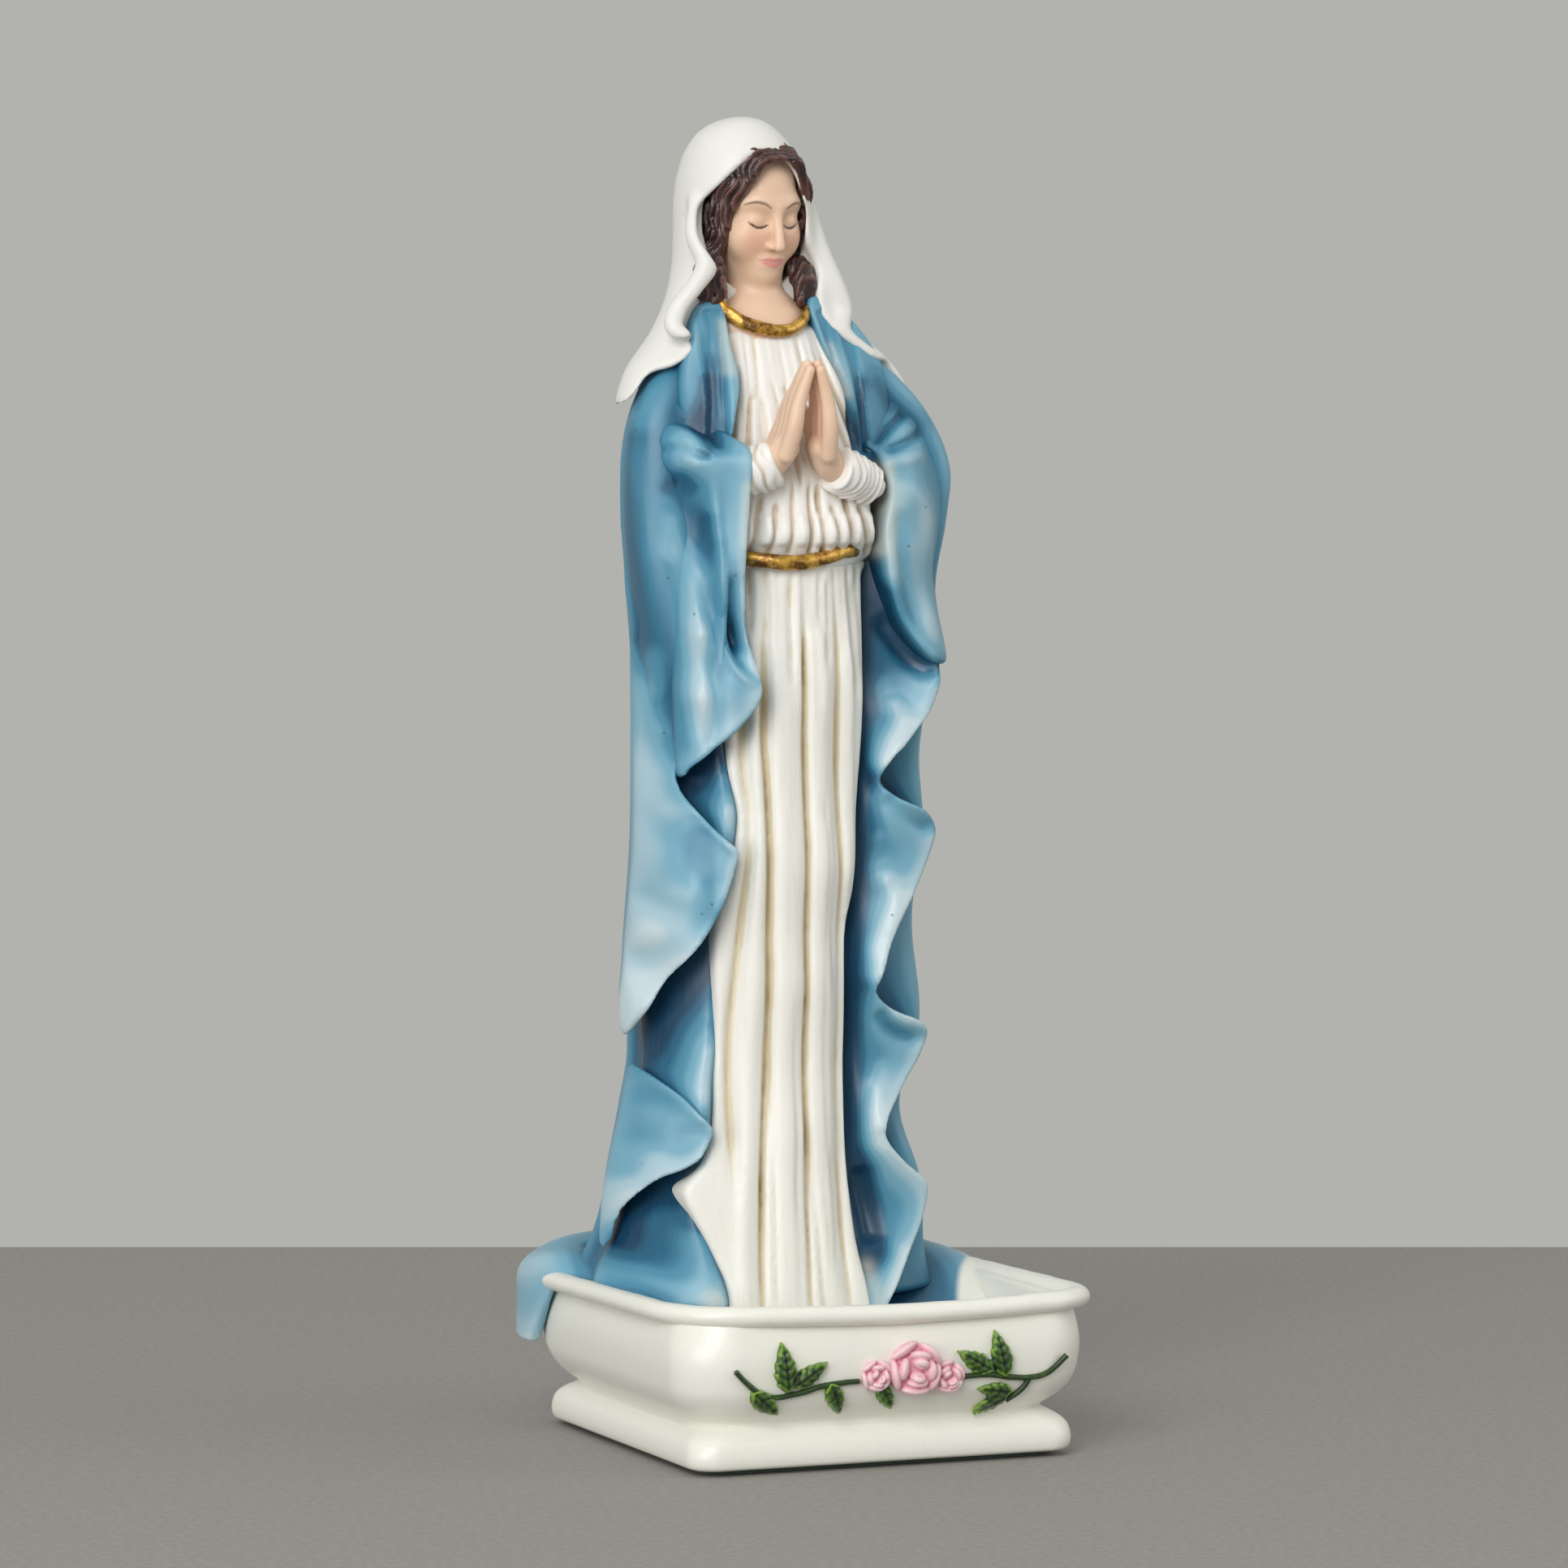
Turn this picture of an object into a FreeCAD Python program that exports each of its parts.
"""Praying lady statue standing in a small holy-water basin, cast in resin.

Frame: origin at the centre of the basin's foot on the resting plane, +Z up, the
statue faces -Y and her right hand is on the -X side. Millimetres throughout.
"""
import math
import os

import FreeCAD
import Part
from FreeCAD import Rotation, Vector

doc = FreeCAD.newDocument("praying_lady_font")

# ---------------------------------------------------------------- driving dimensions
DIMENSIONS = {
    # resting pad and foot moulding
    "pad_thickness": 1.0,
    "pad_inset": 2.5,
    "foot_half_width": 35.0,
    "foot_half_depth": 36.5,
    "foot_corner": 6.0,
    "foot_height": 6.5,
    "foot_round": 2.4,
    # bowl
    "neck_half_width": 32.5,
    "neck_half_depth": 34.0,
    "belly_half_width": 37.5,
    "belly_half_depth": 39.0,
    "belly_height": 19.0,
    "lip_half_width": 36.8,
    "lip_half_depth": 38.3,
    "lip_height": 26.0,
    "bowl_corner": 7.0,
    "bowl_wall": 3.6,
    "bowl_floor": 11.0,
    "rim_bead": 2.0,
    "rim_seat": 0.7,
    # figure: her axis, and the heights of her main stations
    "figure_x": -4.0,
    "figure_y": 8.0,
    "hem_height": 11.0,
    "belt_height": 153.0,
    "collar_height": 194.5,
    "chin_height": 202.0,
    "crown_height": 230.0,
    # gown
    "hem_half_width": 15.5,
    "hem_half_depth": 12.5,
    "knee_half_width": 12.5,
    "knee_half_depth": 11.5,
    "waist_half_width": 10.8,
    "waist_half_depth": 9.5,
    "chest_half_width": 13.0,
    "chest_half_depth": 10.0,
    "throat_half_width": 7.4,
    "throat_half_depth": 6.2,
    # belt and collar bands
    "belt_band": 1.3,
    "collar_band": 0.95,
    # head
    "neck_half_breadth": 5.2,
    "face_half_width": 7.6,
    "face_half_depth": 9.2,
    "face_half_height": 12.6,
    "hair_thickness": 1.6,
    "lock_half_width": 2.6,
    # veil
    "veil_half_width": 11.6,
    "veil_half_depth": 11.6,
    "cape_half_width": 24.0,
    "shoulder_height": 184.0,
    "cape_half_depth": 15.0,
    # mantle
    "mantle_hem_half_width": 27.0,
    "mantle_hem_half_depth": 21.0,
    "mantle_side": 24.5,
    "mantle_back": 14.5,
    "mantle_shoulder": 21.0,
    "fall_thickness": 7.0,
    # sleeves and cuffs
    "sleeve_round": 7.0,
    "wrist_round": 4.6,
    "cuff_round": 3.9,
    "cuff_length": 7.0,
    # hands
    "hand_length": 19.0,
    "palm_half_width": 4.6,
    "palm_half_thickness": 2.5,
    # rose spray on the basin's front
    "rose_round": 4.6,
    "bud_round": 3.0,
    "leaf_half_length": 3.7,
    "leaf_half_width": 1.7,
    "stem_round": 0.55,
}

sheet = doc.addObject("Spreadsheet::Sheet", "dims")
for row, (alias, value) in enumerate(DIMENSIONS.items(), start=1):
    sheet.set(f"A{row}", alias)
    sheet.set(f"B{row}", str(value))
    sheet.setAlias(f"B{row}", alias)
doc.recompute()


def dim(alias):
    """A driving dimension's value, for the places that only code can work out."""
    return float(sheet.get(alias))


def bind(thing, **expressions):
    """Binds properties to expressions; a double underscore stands for a dot."""
    for name, expression in expressions.items():
        thing.setExpression(name.replace("__", "."), expression)
    return thing


def place(thing, x, y, z):
    """Binds an object's base point to three expressions."""
    return bind(thing, Placement__Base__x=x, Placement__Base__y=y, Placement__Base__z=z)


# ---------------------------------------------------------------- sketch helpers
def origin_plane(body, role):
    return next(f for f in body.Origin.OriginFeatures if f.Role == role)


def rounded_rectangle(body, name, half_width, half_depth, corner, height):
    """A centred rounded rectangle on the XY plane, lifted to a height; all expressions."""
    sketch = body.newObject("Sketcher::SketchObject", name)
    sketch.AttachmentSupport = [(origin_plane(body, "XY_Plane"), "")]
    sketch.MapMode = "FlatFace"
    bind(sketch, AttachmentOffset__Base__z=height)
    w, d, r = 30.0, 32.0, 5.0
    sides = [
        ((-w + r, -d), (w - r, -d)),
        ((w, -d + r), (w, d - r)),
        ((w - r, d), (-w + r, d)),
        ((-w, d - r), (-w, -d + r)),
    ]
    for start, end in sides:
        sketch.addGeometry(Part.LineSegment(Vector(*start, 0), Vector(*end, 0)), False)
    corners = [(w - r, -d + r, -90), (w - r, d - r, 0), (-w + r, d - r, 90), (-w + r, -d + r, 180)]
    for x, y, start in corners:
        circle = Part.Circle(Vector(x, y, 0), Vector(0, 0, 1), r)
        arc = Part.ArcOfCircle(circle, math.radians(start), math.radians(start + 90))
        sketch.addGeometry(arc, False)
    import Sketcher

    for k in range(4):
        sketch.addConstraint(Sketcher.Constraint("Tangent", k, 2, 4 + k, 1))
        sketch.addConstraint(Sketcher.Constraint("Tangent", 4 + k, 2, (k + 1) % 4, 1))
    for k in (0, 2):
        sketch.addConstraint(Sketcher.Constraint("Horizontal", k))
        sketch.addConstraint(Sketcher.Constraint("Vertical", k + 1))
    for k in (5, 6, 7):
        sketch.addConstraint(Sketcher.Constraint("Equal", 4, k))
    measured = [
        ("DistanceY", (0, 1, -1, 1), half_depth),
        ("DistanceX", (-1, 1, 1, 1), half_width),
        ("DistanceY", (-1, 1, 2, 1), half_depth),
        ("DistanceX", (3, 1, -1, 1), half_width),
    ]
    for kind, where, expression in measured:
        size = w if kind == "DistanceX" else d
        index = sketch.addConstraint(Sketcher.Constraint(kind, *where, size))
        sketch.setExpression(f"Constraints[{index}]", expression)
    index = sketch.addConstraint(Sketcher.Constraint("Radius", 4, r))
    sketch.setExpression(f"Constraints[{index}]", corner)
    return sketch


def new_body(label):
    body = doc.addObject("PartDesign::Body", label)
    body.Label = label
    return body


# ---------------------------------------------------------------- primitive helpers
def hidden(kind, name):
    """A construction object: it has no file of its own."""
    return doc.addObject(kind, "build_" + name)


def ellipse(name, half_width, half_depth, x, y, z):
    """A horizontal ellipse whose longer half-axis lies along X."""
    ring = hidden("Part::Ellipse", name)
    bind(ring, MajorRadius=half_width, MinorRadius=half_depth)
    return place(ring, x, y, z)


def loft(name, stations):
    """A solid through horizontal ellipses: (half width, half depth, x, y, z) each."""
    made = hidden("Part::Loft", name)
    made.Sections = [ellipse(f"{name}_{n}", *s) for n, s in enumerate(stations)]
    made.Solid = True
    return made


def ellipsoid(name, half_x, half_y, half_z, x, y, z, turn=None):
    """Radius2 runs along X, Radius3 along Y and Radius1 along Z."""
    ball = hidden("Part::Ellipsoid", name)
    bind(ball, Radius2=half_x, Radius3=half_y, Radius1=half_z)
    if turn:
        ball.Placement = FreeCAD.Placement(Vector(), turn)
    return place(ball, x, y, z)


def cone_between(name, start, end, start_radius, end_radius):
    """A round bar from start to end, each a point of three numbers in millimetres."""
    bar = hidden("Part::Cone", name)
    along = Vector(*end) - Vector(*start)
    bar.Height = along.Length
    bind(bar, Radius1=start_radius, Radius2=end_radius)
    bar.Placement = FreeCAD.Placement(Vector(*start), Rotation(Vector(0, 0, 1), along))
    return bar


def ball_at(name, centre, radius):
    ball = hidden("Part::Sphere", name)
    bind(ball, Radius=radius)
    ball.Placement.Base = Vector(*centre)
    return ball


def fuse(name, *shapes):
    made = hidden("Part::MultiFuse", name)
    made.Shapes = list(shapes)
    return made


def cut(name, base, *tools):
    """base with each tool taken away in turn."""
    for n, tool in enumerate(tools):
        step = hidden("Part::Cut", f"{name}_less_{n}")
        step.Base, step.Tool = base, tool
        base = step
    return base


def box(name, x0, x1, y0, y1, z0, z1):
    made = hidden("Part::Box", name)
    made.Length, made.Width, made.Height = x1 - x0, y1 - y0, z1 - z0
    made.Placement.Base = Vector(x0, y0, z0)
    return made


NODES = []


def node(label, shape):
    """Keeps a finished object under the name that its file takes."""
    shape.Label = label
    NODES.append(shape)
    return shape


FX, FY = "dims.figure_x", "dims.figure_y"
fx, fy = dim("figure_x"), dim("figure_y")


# ---------------------------------------------------------------- basin
def make_pad():
    body = new_body("felt_pad")
    outline = rounded_rectangle(
        body, "pad_outline", "dims.foot_half_width - dims.pad_inset",
        "dims.foot_half_depth - dims.pad_inset", "dims.foot_corner - dims.pad_inset", "0",
    )
    pad = body.newObject("PartDesign::Pad", "pad")
    pad.Profile = outline
    bind(pad, Length="dims.pad_thickness")
    return node("felt_pad", body)


def make_foot():
    body = new_body("basin_foot")
    outline = rounded_rectangle(
        body, "foot_outline", "dims.foot_half_width", "dims.foot_half_depth",
        "dims.foot_corner", "dims.pad_thickness",
    )
    slab = body.newObject("PartDesign::Pad", "foot_slab")
    slab.Profile = outline
    bind(slab, Length="dims.foot_height")
    doc.recompute()
    top = dim("pad_thickness") + dim("foot_height")
    rims = [
        f"Edge{n}" for n, edge in enumerate(slab.Shape.Edges, start=1)
        if abs(edge.CenterOfMass.z - top) < 0.01
    ]
    rounding = body.newObject("PartDesign::Fillet", "foot_rounding")
    rounding.Base = (slab, rims)
    bind(rounding, Radius="dims.foot_round")
    return node("basin_foot", body)


def make_bowl():
    body = new_body("basin_bowl")
    foot_top = "dims.pad_thickness + dims.foot_height"
    stations = [
        ("neck", "dims.neck_half_width", "dims.neck_half_depth", foot_top),
        ("lower", "dims.neck_half_width + 2.6", "dims.neck_half_depth + 2.6", "12"),
        ("belly", "dims.belly_half_width", "dims.belly_half_depth", "dims.belly_height"),
        ("lip", "dims.lip_half_width", "dims.lip_half_depth", "dims.lip_height"),
    ]
    rings = [
        rounded_rectangle(body, f"bowl_{name}", width, depth, "dims.bowl_corner", height)
        for name, width, depth, height in stations
    ]
    outside = body.newObject("PartDesign::AdditiveLoft", "bowl_outside")
    outside.Profile = rings[0]
    outside.Sections = rings[1:]
    mouth = rounded_rectangle(
        body, "bowl_mouth", "dims.lip_half_width - dims.bowl_wall",
        "dims.lip_half_depth - dims.bowl_wall", "dims.bowl_corner - 2", "dims.lip_height",
    )
    hollow = body.newObject("PartDesign::Pocket", "bowl_hollow")
    hollow.Profile = mouth
    bind(hollow, Length="dims.lip_height - dims.bowl_floor")
    hollow.TaperAngle = -10
    return node("basin_bowl", body)


def make_rim(bowl):
    body = new_body("build_rim_body")
    path = rounded_rectangle(
        body, "rim_path", "dims.lip_half_width", "dims.lip_half_depth", "dims.bowl_corner",
        "dims.lip_height + dims.rim_bead - dims.rim_seat",
    )
    section = body.newObject("Sketcher::SketchObject", "rim_section")
    section.AttachmentSupport = [(origin_plane(body, "YZ_Plane"), "")]
    section.MapMode = "FlatFace"
    import Sketcher

    centre = Vector(-dim("lip_half_depth"), dim("lip_height") + dim("rim_bead") - dim("rim_seat"), 0)
    section.addGeometry(Part.Circle(centre, Vector(0, 0, 1), dim("rim_bead")), False)
    across = section.addConstraint(Sketcher.Constraint("DistanceX", 0, 3, -1, 1, -centre.x))
    section.setExpression(f"Constraints[{across}]", "dims.lip_half_depth")
    up = section.addConstraint(Sketcher.Constraint("DistanceY", -1, 1, 0, 3, centre.y))
    section.setExpression(f"Constraints[{up}]", "dims.lip_height + dims.rim_bead - dims.rim_seat")
    size = section.addConstraint(Sketcher.Constraint("Radius", 0, dim("rim_bead")))
    section.setExpression(f"Constraints[{size}]", "dims.rim_bead")
    bead = body.newObject("PartDesign::AdditivePipe", "bead")
    bead.Profile = section
    bead.Spine = path
    node("rim_bead", cut("rim", body, bowl))
    return body


# ---------------------------------------------------------------- gown
def make_gown():
    skirt = loft("skirt", [
        ("dims.hem_half_width", "dims.hem_half_depth", FX, FY + " - 1", "dims.hem_height"),
        ("dims.knee_half_width", "dims.knee_half_depth", FX, FY + " - 1", "60"),
        ("dims.knee_half_width", "dims.knee_half_depth", FX, FY + " - 1", "105"),
        ("dims.waist_half_width", "dims.waist_half_depth", FX, FY + " - 1.5",
         "dims.belt_height - dims.belt_band"),
    ])
    node("gown_skirt", skirt)
    bodice = loft("bodice", [
        ("dims.waist_half_width", "dims.waist_half_depth", FX, FY + " - 1.5",
         "dims.belt_height - dims.belt_band"),
        ("dims.chest_half_width", "dims.chest_half_depth", FX, FY + " - 0.5", "168"),
        ("dims.chest_half_width", "dims.chest_half_depth - 0.5", FX, FY + " + 1", "182"),
        ("dims.throat_half_width", "dims.throat_half_depth", FX, FY + " + 3",
         "dims.collar_height"),
    ])
    return skirt, bodice


def oval_slice(name, half_width, half_depth, y, z, thick, lean):
    """A rounded oval cushion about the figure's axis, leaning forward by an angle."""
    swell = (("0", -1), ("1", 0), ("0", 1))
    rings = []
    for n, (share, side) in enumerate(swell):
        ring = ellipse(f"{name}_{n}", f"{half_width} + {thick} * {share}",
                       f"{half_depth} + {thick} * {share}", FX, y, f"{z} + {side} * {thick}")
        ring.Placement.Rotation = Rotation(Vector(1, 0, 0), lean)
        rings.append(ring)
    made = hidden("Part::Loft", name)
    made.Sections = rings
    made.Solid = True
    return made


def make_bands(bodice, skirt):
    belt_mass = oval_slice("belt_oval", "(dims.waist_half_width + 0.3)", "(dims.waist_half_depth + 0.3)",
                      FY + " - 1.5", "dims.belt_height", "dims.belt_band", 0)
    node("belt", cut("belt", belt_mass, skirt, bodice))
    node("gown_bodice", bodice)
    ring = hidden("Part::Torus", "collar_ring")
    bind(ring, Radius1="dims.throat_half_width", Radius2="dims.collar_band")
    ring.Placement.Rotation = Rotation(Vector(1, 0, 0), 14)
    place(ring, FX, FY + " + 2.8", "dims.collar_height + 0.9")
    collar = node("collar_band", cut("collar", ring, bodice))
    return belt_mass, collar


# ---------------------------------------------------------------- head
def make_head(bodice, collar):
    throat = (fx, fy + 3.0, dim("collar_height"))
    nape = (fx, fy + 4.0, dim("chin_height") + 4.0)
    neck = cone_between("neck", throat, nape, "dims.neck_half_breadth + 1", "dims.neck_half_breadth")
    skull = ellipsoid(
        "skull", "dims.face_half_width", "dims.face_half_depth", "dims.face_half_height", FX,
        FY + " + 4", "dims.chin_height + dims.face_half_height - 0.4",
    )
    return node("head", cut("head", fuse("head_and_neck", neck, skull), bodice, collar))


def make_hair(head, bodice, collar):
    cap = ellipsoid(
        "cap", "dims.face_half_width + dims.hair_thickness",
        "dims.face_half_depth + dims.hair_thickness - 0.6",
        "dims.face_half_height + dims.hair_thickness - 0.6",
        FX, FY + " + 5", "dims.chin_height + dims.face_half_height",
    )
    locks = [
        ellipsoid(
            f"lock_{side}", "dims.lock_half_width", "dims.lock_half_width + 1", "10",
            f"{FX} + {sign} * dims.face_half_width", FY + " + 2.5", "dims.chin_height + 5.5",
        )
        for side, sign in (("right", -1), ("left", 1))
    ]
    face_window = ellipsoid("face_window", "6.6", "9", "11.5", FX, FY + " - 5",
                            "dims.chin_height + dims.face_half_height - 4")
    return node("hair", cut("hair", fuse("hair_mass", cap, *locks), face_window, head, bodice, collar))


# ---------------------------------------------------------------- veil
def make_veil(inner):
    """Cape and hood in one bell-shaped shell, open at the face and down the chest."""
    back = FY + " + 5"
    mass = loft("veil_mass", [
        ("dims.cape_half_width", "dims.cape_half_depth", FX, FY + " + 3", "dims.shoulder_height"),
        ("dims.cape_half_width - 5", "dims.cape_half_depth - 2", FX, FY + " + 4", "190"),
        ("dims.veil_half_width + 1", "dims.veil_half_depth - 0.5", FX, back, "199"),
        ("dims.veil_half_width + 0.6", "dims.veil_half_depth", FX, back, "208"),
        ("dims.veil_half_width + 0.3", "dims.veil_half_depth - 0.2", FX, back, "216"),
        ("dims.veil_half_width - 1.2", "dims.veil_half_depth - 2", FX, back, "223"),
        ("dims.veil_half_width - 4", "dims.veil_half_depth - 4.2", FX, back, "227.6"),
        ("dims.veil_half_width - 8.6", "dims.veil_half_depth - 8.8", FX, back, "dims.crown_height"),
    ])
    room = loft("veil_room", [
        ("dims.veil_half_width - 1", "dims.veil_half_depth - 2.2", FX, FY + " + 4.5", "170"),
        ("dims.veil_half_width - 1", "dims.veil_half_depth - 1.8", FX, FY + " + 4.5", "200"),
        ("dims.veil_half_width - 1.2", "dims.veil_half_depth - 1.8", FX, FY + " + 4.5", "214"),
        ("dims.veil_half_width - 2.6", "dims.veil_half_depth - 3", FX, FY + " + 4.5", "222"),
        ("dims.veil_half_width - 7.5", "dims.veil_half_depth - 7.8", FX, FY + " + 4.5", "228"),
    ])
    window = hidden("Part::Cylinder", "veil_window")
    bind(window, Radius="dims.face_half_width + 1.2", Height="dims.veil_half_depth + 10")
    window.Placement.Rotation = Rotation(Vector(1, 0, 0), 90)
    place(window, FX, FY + " + 2", "212")
    chest_gap = box("chest_gap", fx - 8.8, fx + 8.8, fy - 20, fy + 6, 170, 212)
    node("veil", cut("veil", mass, room, window, chest_gap, *inner))


# ---------------------------------------------------------------- mantle
def make_falls(inner):
    """The two hanging front edges, each a stack of lobes that swing out and in."""
    masses = []
    lobes = {
        "right_fall": [(-19, -3, 155), (-19, -4, 136), (-24, 0, 116), (-21, -4, 104),
                       (-30, 2, 72), (-23, -2, 55), (-29, 6, 35)],
        "left_fall": [(16, 0, 155), (21, 0, 136), (15, 0, 116), (19, 0, 107),
                      (14, 1, 84), (18, 0, 73), (13, 2, 55), (15, 1, 35)],
    }
    for label, points in lobes.items():
        pieces = []
        for n, (start, end) in enumerate(zip(points, points[1:], strict=False)):
            bar = cone_between(f"{label}_bar_{n}", start, end, "dims.fall_thickness / 2",
                               "dims.fall_thickness / 2")
            pieces += [bar, ball_at(f"{label}_joint_{n}", end, "dims.fall_thickness / 2")]
        pieces.append(ball_at(f"{label}_top", points[0], "dims.fall_thickness / 2"))
        mass = fuse(label, *pieces)
        masses.append(mass)
        node(label, cut(label, mass, *inner))
    return masses


def make_mantle(inner):
    cloak = loft("cloak", [
        ("dims.mantle_hem_half_width", "dims.mantle_hem_half_depth", FX, FY + " + 5",
         "dims.lip_height + 2 * dims.rim_bead + 1"),
        ("dims.mantle_side", "dims.mantle_back + 2", FX, FY + " + 3", "50"),
        ("dims.mantle_side", "dims.mantle_back", FX, FY + " + 2.5", "110"),
        ("dims.mantle_side", "dims.mantle_back", FX, FY + " + 2.5", "165"),
        ("dims.mantle_shoulder", "dims.mantle_back - 3", FX, FY + " + 4", "dims.shoulder_height"),
    ])
    opening = box("mantle_opening", fx - 13.5, fx + 13.5, fy - 30, fy + 1, 20, 200)
    return node("mantle", cut("mantle", cloak, opening, *inner))


def make_train(inner):
    """The hem that lies over the back half of the basin and hangs over its rear corner."""
    body = new_body("build_train_body")
    outline = rounded_rectangle(body, "train_outline", "dims.lip_half_width + 4.2",
                                "dims.lip_half_depth + 4.4", "dims.bowl_corner + 3",
                                "dims.bowl_floor")
    slab = body.newObject("PartDesign::Pad", "train_slab")
    slab.Profile = outline
    bind(slab, Length="dims.lip_height + 2 * dims.rim_bead + 1 - dims.bowl_floor")
    keep_front = box("train_front", -60, 60, -60, -4, 0, 60)
    keep_right = box("train_right", 36.2, 60, -60, 60, 0, 60)
    keep_side = box("train_side", -60, -36.2, -60, 14, 0, 60)
    keep_back = box("train_back", -14, 60, 38.0, 60, 0, 60)
    train = cut("train", body, keep_front, keep_right, keep_side, keep_back, *inner)
    return node("mantle_train", train)


# ---------------------------------------------------------------- arms
ARMS = {
    "right": {"shoulder": (-21.5, 12, 176), "elbow": (-25.0, 6, 164), "wrist": (-13.5, -3.5, 166.5),
              "hand": (-6.2, -7.5, 169.5)},
    "left": {"shoulder": (13.5, 12, 176), "elbow": (20.5, 4, 164), "wrist": (8.5, -4.5, 166.5),
             "hand": (-0.8, -8.0, 169.5)},
}
FINGERTIP = (-4.0, -11.5, 187.5)


def make_hands():
    made = []
    for side, sign in (("right", -1), ("left", 1)):
        heel, tip = Vector(*ARMS[side]["hand"]), Vector(*FINGERTIP)
        middle = (heel + tip) / 2
        palm = ellipsoid(
            f"{side}_palm", "dims.palm_half_thickness", "dims.palm_half_width",
            "dims.hand_length / 2", f"{middle.x + sign * 1.8:.3f}", f"{middle.y:.3f}",
            f"{middle.z:.3f}", Rotation(Vector(0, 0, 1), tip - heel),
        )
        made.append(palm)
    return [node("right_hand", made[0]), node("left_hand", made[1])]


def make_cuffs(hands):
    made = []
    for side in ARMS:
        wrist, hand = Vector(*ARMS[side]["wrist"]), Vector(*ARMS[side]["hand"])
        back = wrist - (hand - wrist) * 0.25
        cuff = cone_between(f"{side}_cuff", tuple(back), tuple(wrist + (hand - wrist) * 0.85),
                            "dims.cuff_round", "dims.cuff_round - 0.6")
        half = box(f"{side}_cuff_limit", fx if side == "right" else fx - 40,
                   fx + 40 if side == "right" else fx, -40, 40, 150, 210)
        made.append(cut(f"{side}_cuff_whole", cuff, half, *hands))
    return made


def make_sleeves(inner, cuffs):
    masses = []
    for side in ARMS:
        arm = ARMS[side]
        upper = cone_between(f"{side}_upper", arm["shoulder"], arm["elbow"], "dims.sleeve_round",
                             "dims.sleeve_round")
        fore = cone_between(f"{side}_fore", arm["elbow"], arm["wrist"], "dims.sleeve_round",
                            "dims.wrist_round")
        knob = ball_at(f"{side}_elbow", arm["elbow"], "dims.sleeve_round")
        top = ball_at(f"{side}_shoulder", arm["shoulder"], "dims.sleeve_round")
        sleeve = fuse(f"{side}_sleeve", upper, fore, knob, top)
        node(f"{side}_sleeve", cut(f"{side}_sleeve", sleeve, *inner, *cuffs))
        masses.append(sleeve)
    return masses


# ---------------------------------------------------------------- rose spray
def wall_y(z):
    """How far forward the bowl's front wall stands at a height, in millimetres."""
    share = math.sin(math.pi / 2 * min(1.0, (z - 8) / (dim("belly_height") - 8)))
    return -(dim("neck_half_depth") + (dim("belly_half_depth") - dim("neck_half_depth")) * share)


def make_roses(bowl):
    made = []
    blooms = {"rose_centre": (3.2, 16.8, "dims.rose_round"), "rosebud_right": (-3.6, 16.2, "dims.bud_round"),
              "rosebud_left": (9.4, 15.0, "dims.bud_round")}
    for label, (x, z, radius) in blooms.items():
        disc = hidden("Part::Ellipsoid", label + "_disc")
        bind(disc, Radius1="dims.bud_round * 0.75", Radius2=radius, Radius3=radius)
        disc.Placement = FreeCAD.Placement(Vector(x, wall_y(z) - 0.2, z), Rotation(Vector(1, 0, 0), 90))
        heart = hidden("Part::Torus", label + "_whorl")
        bind(heart, Radius1=f"{radius} * 0.45", Radius2="dims.bud_round * 0.3")
        heart.Placement = FreeCAD.Placement(Vector(x, wall_y(z) - 2.2, z), Rotation(Vector(1, 0, 0), 90))
        tools = [bowl] + made
        made.append(cut(label, fuse(label, disc, heart), *tools))
    return [node(label, shape) for label, shape in zip(blooms, made, strict=True)]


LEAVES = [  # x, z, angle of the leaf's long axis above +X
    (-20.4, 18.9, 95), (-15.6, 16.9, 40), (-22.8, 12.4, -40), (-11.0, 12.6, -60),
    (-1.5, 12.4, -50), (14.6, 18.0, 150), (19.0, 19.0, 105), (18.4, 12.0, 170), (18.2, 9.6, 215),
]
STEMS = [
    [(-29.2, 18.0), (-26.0, 15.2), (-22.5, 13.6), (-18.0, 14.0), (-13.0, 15.4), (-7.0, 15.6)],
    [(12.8, 15.6), (17.0, 15.4), (21.5, 14.6), (25.0, 14.4), (28.5, 15.2), (31.4, 17.6)],
    [(24.6, 14.4), (23.6, 12.4), (22.4, 10.2)],
]


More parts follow.
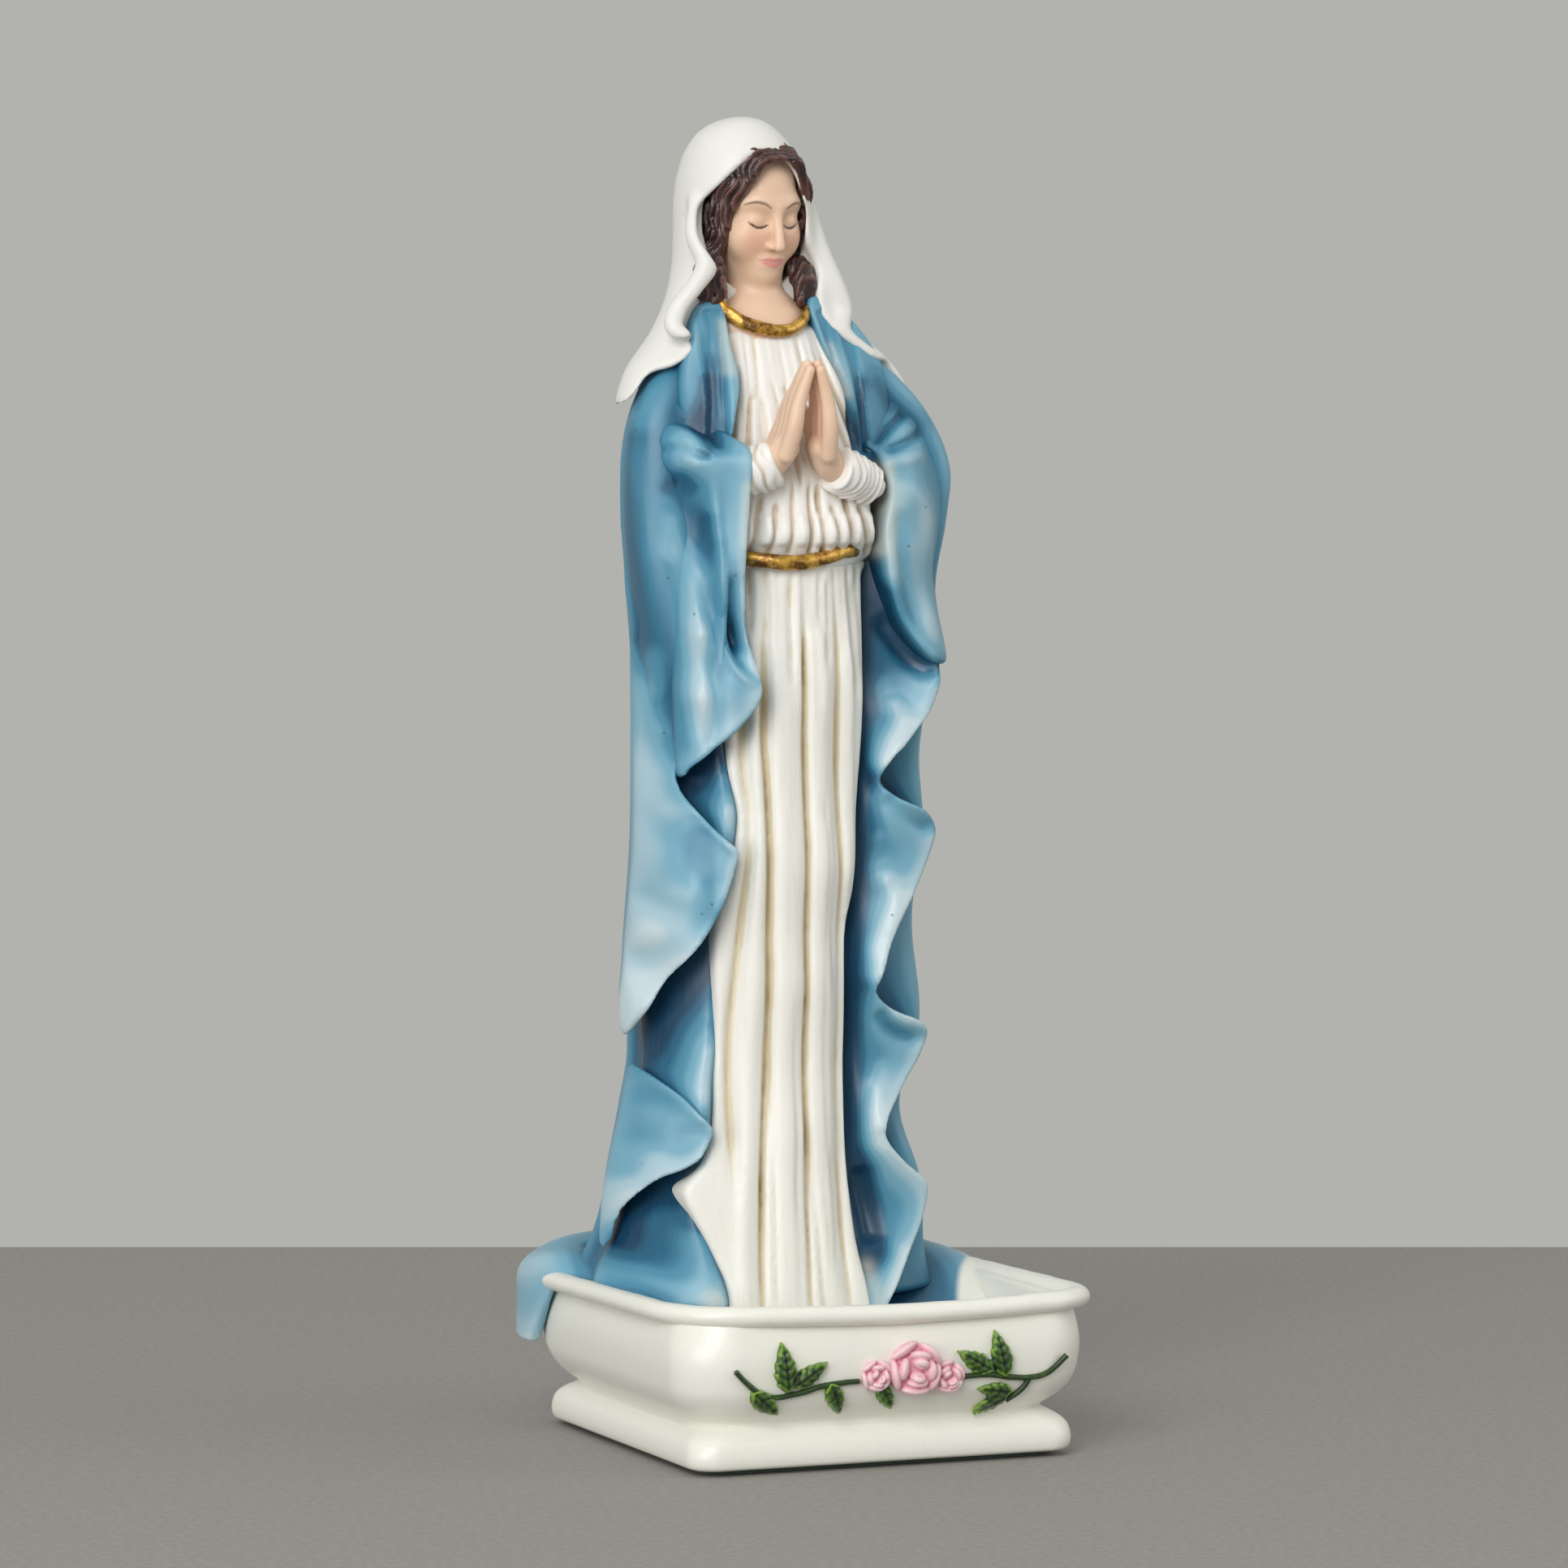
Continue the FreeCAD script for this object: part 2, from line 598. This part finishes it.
def make_leaves(bowl, blooms):
    leaves = []
    for n, (x, z, angle) in enumerate(LEAVES):
        leaf = ellipsoid(f"leaf_{n}", "dims.leaf_half_length", "dims.stem_round * 1.5",
                         "dims.leaf_half_width", f"{x}", f"{wall_y(z):.3f}", f"{z}",
                         Rotation(Vector(0, 1, 0), -angle))
        leaves.append(leaf)
    return node("rose_leaves", cut("leaves", fuse("leaf_group", *leaves), bowl, *blooms))


def make_stems(bowl, blooms, leaves):
    pieces = []
    for n, route in enumerate(STEMS):
        points = [(x, wall_y(z) - 0.2, z) for x, z in route]
        for k, (start, end) in enumerate(zip(points, points[1:], strict=False)):
            pieces.append(cone_between(f"stem_{n}_{k}", start, end, "dims.stem_round", "dims.stem_round"))
        pieces += [ball_at(f"stem_{n}_end_{k}", p, "dims.stem_round") for k, p in enumerate(points)]
    return node("rose_stems", cut("stems", fuse("stem_group", *pieces), bowl, *blooms, leaves))


def main():
    make_pad()
    make_foot()
    bowl = make_bowl()
    rim = make_rim(bowl)
    skirt, bodice = make_gown()
    belt_mass, collar = make_bands(bodice, skirt)
    head = make_head(bodice, collar)
    make_hair(head, bodice, collar)
    hands = make_hands()
    cuffs = [
        node(f"{side}_cuff", cut(f"{side}_cuff", cuff, bodice))
        for side, cuff in zip(ARMS, make_cuffs(hands), strict=True)
    ]
    sleeves = make_sleeves([bodice, *hands], cuffs)
    make_veil([bodice])
    falls = make_falls([skirt, bodice, *sleeves])
    make_mantle([skirt, bodice, belt_mass, *falls, *sleeves])
    make_train([skirt, bowl, rim])
    blooms = make_roses(bowl)
    leaves = make_leaves(bowl, blooms)
    make_stems(bowl, blooms, leaves)
    doc.recompute()


def write_parts():
    """Checks every object, then writes each node's solids to its own STEP file."""
    failed = [t.Name for t in doc.Objects if {"Invalid", "Error"} & set(t.State)]
    if failed:
        raise SystemExit(f"failed to build: {failed}")
    os.makedirs("parts", exist_ok=True)
    for made in NODES:
        shape = made.Shape
        if shape.isNull() or not shape.isValid() or not shape.Solids:
            raise SystemExit(f"{made.Label} has no valid solid")
        print(f"{made.Label:16s} solids {len(shape.Solids):2d}  volume {shape.Volume:10.1f} mm3")
        shape.exportStep(f"parts/{made.Label}.step")


main()
write_parts()
